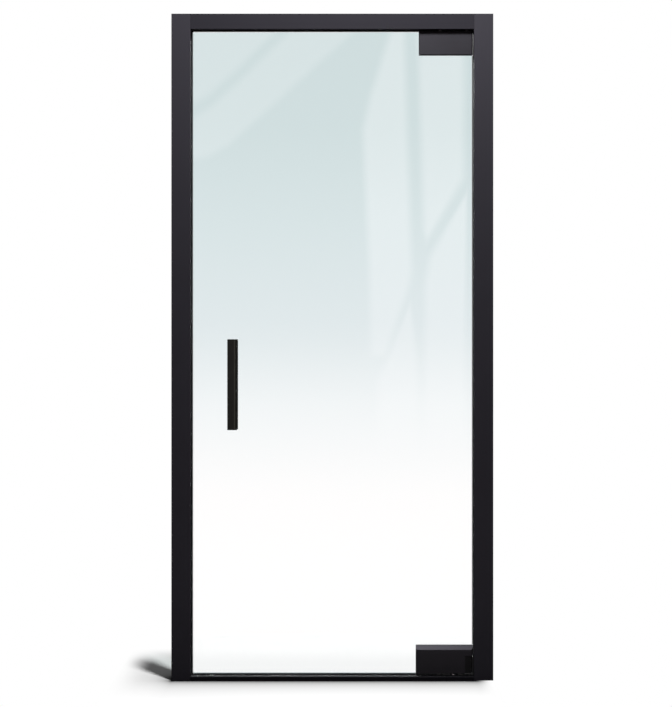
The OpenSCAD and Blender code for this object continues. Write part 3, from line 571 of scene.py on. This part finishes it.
def studio_world():
    """White behind the door, a pale blue-green fade through the glass, a dark room for gloss."""
    world = bpy.data.worlds.new("studio")
    bpy.context.scene.world = world
    shader = Shader(world)
    up = shader.parts(shader.node("ShaderNodeTexCoord", output="Generated"))[Z_AXIS]
    height = ((up + THROUGH_REACH) / (2.0 * THROUGH_REACH)).share()
    behind_glass = shader.node("ShaderNodeValToRGB", {"stops": THROUGH_GLASS}, {0: height})
    glossy = shader.light_path("Is Glossy Ray")
    camera = shader.light_path("Is Camera Ray")
    colour = shader.mix(glossy, opaque(WHITE, AMBIENT), opaque(WHITE, ROOM))
    colour = shader.mix(shader.through_glass(), colour, behind_glass)
    colour = shader.mix(camera, colour, opaque(WHITE))
    background = shader.node("ShaderNodeBackground", sockets={"Color": colour, "Strength": 1.0})
    shader.surface(background, "ShaderNodeOutputWorld")


def soft_lamp(name, place, size, watts):
    """A rectangular lamp that is aimed at the door."""
    data = bpy.data.lights.new(name, "AREA")
    data.shape = "RECTANGLE"
    data.size, data.size_y = size
    data.energy = watts
    lamp = add_object(name, data)
    lamp.location = place
    lamp.rotation_euler = (LAMP_TARGET - place).to_track_quat("-Z", "Y").to_euler()
    return lamp


def light_back():
    """A lamp behind the door that lights the door alone; the floor keeps its shadow."""
    lamp = soft_lamp("rear_lamp", REAR_PLACE, REAR_SIZE, REAR_WATTS)
    door = bpy.data.collections.new("door")
    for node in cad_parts.values():
        door.objects.link(node)
    lamp.light_linking.receiver_collection = door


def card_finish(name, fade):
    """Light of a card: the glow written at its corners, fading out downward between two heights.

    The card adds its light to what lies behind it.
    """
    material, shader = new_finish(name)
    glow = shader.node("ShaderNodeAttribute", {"attribute_name": "glow"}, output="Color")
    low, high = fade
    z = shader.parts(shader.place())[Z_AXIS]
    share = ((z - low) / (high - low)).share() * shader.unbounced("Diffuse")
    light = shader.node("ShaderNodeEmission", sockets={
        "Color": shader.mix(share, opaque(BLACK), glow)})
    behind = shader.node("ShaderNodeBsdfTransparent")
    shader.surface(shader.node("ShaderNodeAddShader", sockets={0: light, 1: behind}))
    return material


def shifted(outline, by):
    """The outline moved outward by a distance."""
    corners = [Vector(corner) for corner in outline]
    area = sum(a.cross(b) for a, b in zip(corners, corners[1:] + corners[:1]))
    outward = by * math.copysign(1.0, area)
    moved = []
    for before, here, after in zip(corners[-1:] + corners, corners, corners[1:] + corners[:1]):
        first = (here - before).normalized()
        along = (first + (after - here).normalized()).normalized()
        turn = max(SHARPEST_TURN, along.dot(first))
        moved.append(here + Vector((along.y, -along.x)) * outward / turn)
    return moved


def mirrored(camera, card_y):
    """Gives, for a point (x, z) of the glass, the point of a card that the camera sees in it there."""
    glass_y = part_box("glass_pane")[0].y
    eye = Vector((camera.location.x, 2 * glass_y - camera.location.y, camera.location.z))
    reach = (eye.y - card_y) / (eye.y - glass_y)
    return lambda corner: eye + (Vector((corner[0], glass_y, corner[1])) - eye) * reach


def glowing_card(name, rings, faces, glows, hung, finish):
    """A card seen only in reflections; each ring of its corners has a glow of its own."""
    card = stage_piece(name, [hung(corner) for ring in rings for corner in ring], faces, finish)
    colours = card.data.attributes.new("glow", "FLOAT_COLOR", "POINT")
    corner_glows = [glow for ring, glow in zip(rings, glows) for _ in ring]
    for point, glow in zip(colours.data, corner_glows):
        point.color = opaque(CARD_TINT, glow)
    card.visible_camera = False
    card.visible_diffuse = False
    card.visible_transmission = False
    card.visible_shadow = False


def hang_streaks(camera):
    """Soft-edged streaks: each card glows inside its outline and fades out across it."""
    light = card_finish("streak_light", STREAK_FADE)
    hung = mirrored(camera, CARD_Y)
    for name, (glow, outline) in STREAK_CARDS.items():
        count = len(outline)
        rings = [shifted(outline, -CARD_SOFT), shifted(outline, CARD_SOFT)]
        sides = [(i, (i + 1) % count, count + (i + 1) % count, count + i) for i in range(count)]
        glowing_card(name, rings, [range(count)] + sides, (glow, 0.0), hung, light)


def hang_sweep(camera):
    """A low white sweep over the width of the glass."""
    light = card_finish("sweep_light", NO_FADE)
    rows = [[(-SWEEP_HALF_WIDTH, z), (SWEEP_HALF_WIDTH, z)] for z, _ in LOW_SWEEP]
    glows = [glow for _, glow in LOW_SWEEP]
    faces = [(2 * i, 2 * i + 1, 2 * i + 3, 2 * i + 2) for i in range(len(rows) - 1)]
    glowing_card("low_sweep", rows, faces, glows, mirrored(camera, SWEEP_Y), light)


dress_frame()
dress_soft_pieces()
dress_patches()
dress_metal()
fit_springs()
dress(painted_pull("pull_black", PULL_TONE), "front_pull", "rear_pull")
dress(clear_glass(), "glass_pane")

door_camera = place_camera()
lay_floor()
studio_world()
soft_lamp("key_lamp", KEY_PLACE, KEY_SIZE, KEY_WATTS)
light_back()
hang_streaks(door_camera)
hang_sweep(door_camera)
bpy.context.scene.view_settings.view_transform = "Standard"
